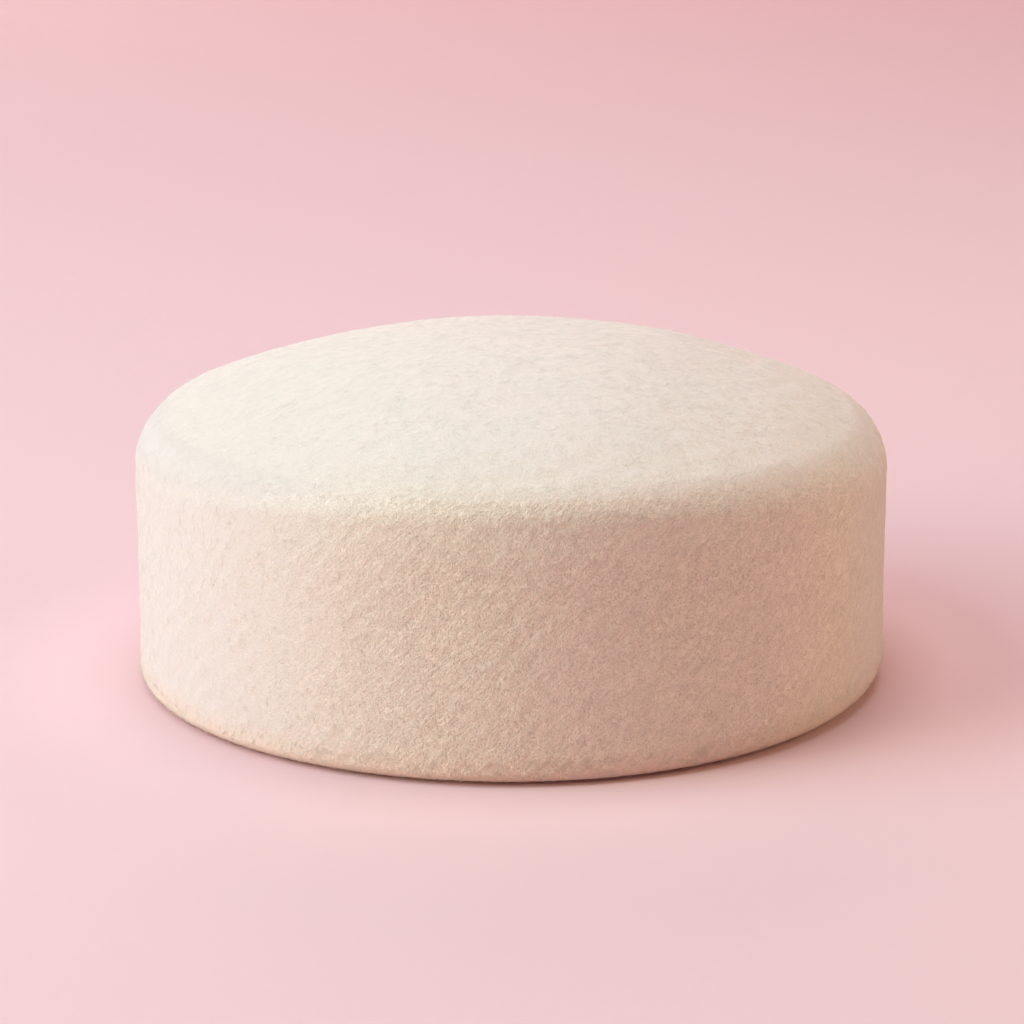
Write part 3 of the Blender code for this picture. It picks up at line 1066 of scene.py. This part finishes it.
def add_floor():
    """A wide round surface that curves up into a wall all round, so that no edge of it shows.

    Its section is a straight radius, a quarter circle and a short upright, turned about Z.
    """
    flat = np.stack([np.linspace(0.02, FLOOR_RADIUS - FLOOR_CURVE, FLOOR_RINGS), np.zeros(FLOOR_RINGS)], -1)
    angle = np.linspace(0, np.pi / 2, FLOOR_RINGS // 2 + 1)[1:]
    centre = FLOOR_RADIUS - FLOOR_CURVE
    curve = np.stack([centre + FLOOR_CURVE * np.sin(angle), FLOOR_CURVE * (1 - np.cos(angle))], -1)
    wall = np.array([[FLOOR_RADIUS, FLOOR_CURVE + FLOOR_WALL]])
    section = np.concatenate([flat, curve, wall])
    bearing = np.arange(FLOOR_COLUMNS) * 2 * np.pi / FLOOR_COLUMNS
    radius = section[:, :1]
    rings = np.stack([radius * np.cos(bearing), radius * np.sin(bearing), section[:, 1:] + 0 * bearing], -1)
    points = np.concatenate([[[0.0, 0.0, 0.0]], rings.reshape(-1, 3)])
    row = np.arange(len(section) - 1)[:, None]
    column = np.arange(FLOOR_COLUMNS)[None, :]
    beside = (column + 1) % FLOOR_COLUMNS
    lower = 1 + row * FLOOR_COLUMNS
    upper = lower + FLOOR_COLUMNS
    quads = np.stack([lower + column, upper + column, upper + beside, lower + beside], -1).reshape(-1, 4)
    turn = np.arange(FLOOR_COLUMNS)
    middle = np.stack([0 * turn, 1 + turn, 1 + (turn + 1) % FLOOR_COLUMNS], -1)
    loops = np.concatenate([quads.ravel(), middle.ravel()])
    sizes = np.concatenate([np.full(len(quads), 4), np.full(len(middle), 3)])
    mesh = fill_mesh("blush_surface", points, loops, sizes)
    material = bpy.data.materials.new("blush_paper")
    material.use_nodes = True
    shader = material.node_tree.nodes["Principled BSDF"]
    shader.inputs["Base Color"].default_value = FLOOR_COLOUR
    shader.inputs["Roughness"].default_value = 0.95
    shader.inputs["Specular IOR Level"].default_value = 0.1
    mesh.materials.append(material)
    floor = bpy.data.objects.new("blush_surface", mesh)
    bpy.context.scene.collection.objects.link(floor)


def towards(bearing_deg, elevation_deg):
    """A unit vector pointing out from the hat at a bearing and an elevation."""
    bearing = np.radians(bearing_deg)
    elevation = np.radians(elevation_deg)
    flat = np.cos(elevation)
    return Vector((flat * np.cos(bearing), flat * np.sin(bearing), np.sin(elevation)))


def add_light(wanted):
    """One square soft light that faces the hat."""
    light = bpy.data.lights.new(wanted.name, "AREA")
    light.shape = "SQUARE"
    light.size = wanted.size
    light.energy = wanted.power
    light.color = wanted.colour
    holder = bpy.data.objects.new(wanted.name, light)
    out = towards(wanted.bearing, wanted.elevation)
    holder.location = out * wanted.distance
    holder.rotation_euler = out.to_track_quat("Z", "Y").to_euler()
    bpy.context.scene.collection.objects.link(holder)


def add_world():
    """A dark room, so that all the light comes from the lights."""
    world = bpy.data.worlds.new("dark_room")
    world.use_nodes = True
    background = world.node_tree.nodes["Background"]
    background.inputs["Color"].default_value = (0.0, 0.0, 0.0, 1.0)
    background.inputs["Strength"].default_value = 0.0
    bpy.context.scene.world = world


def add_camera():
    """The camera at the photograph's angle: FOCAL_PIXELS away per unit of width in its own pixels."""
    camera = bpy.data.cameras.new("photo_camera")
    camera.sensor_width = SENSOR
    camera.lens = SENSOR * FOCAL_PIXELS / PHOTO_SIDE
    camera.clip_start = 0.05
    camera.clip_end = 20.0
    holder = bpy.data.objects.new("photo_camera", camera)
    back = Vector((0.0, -np.cos(CAMERA_ELEVATION), np.sin(CAMERA_ELEVATION)))
    holder.location = AIM + back * CAMERA_DISTANCE
    holder.rotation_euler = back.to_track_quat("Z", "Y").to_euler()
    bpy.context.scene.collection.objects.link(holder)
    bpy.context.scene.camera = holder


add_camera()
add_floor()
for wanted_light in LIGHTS:
    add_light(wanted_light)
add_world()
bpy.context.scene.view_settings.view_transform = "Standard"

felt_grid = blocked_felt()
felt_normal = grid_normals(felt_grid)
inside_rows = (OUTSIDE_ROWS, len(felt_grid) - 1)
add_felt_skin(felt_grid, felt_material(fibre_group(), curl_group()))
bright = fibre_material("bright_wool", *BRIGHT_WOOL)
ivory = fibre_material("ivory_wool", *IVORY_WOOL)
add_nap("nap_bright", felt_grid, felt_normal, OUTER_ROWS, OUTER_FIBRES, LYING, bright, seed=11)
add_nap("nap_ivory", felt_grid, felt_normal, OUTER_ROWS, OUTER_FIBRES, LYING, ivory, seed=12)
add_nap("nap_loose", felt_grid, felt_normal, OUTER_ROWS, OUTER_FIBRES, LOOSE, bright, seed=13)
add_nap("nap_hem", felt_grid, felt_normal, HEM_ROWS, HEM_FIBRES, HANGING, ivory, seed=15)
add_nap("nap_inside", felt_grid, felt_normal, inside_rows, INSIDE_FIBRES, LYING, ivory, seed=14)
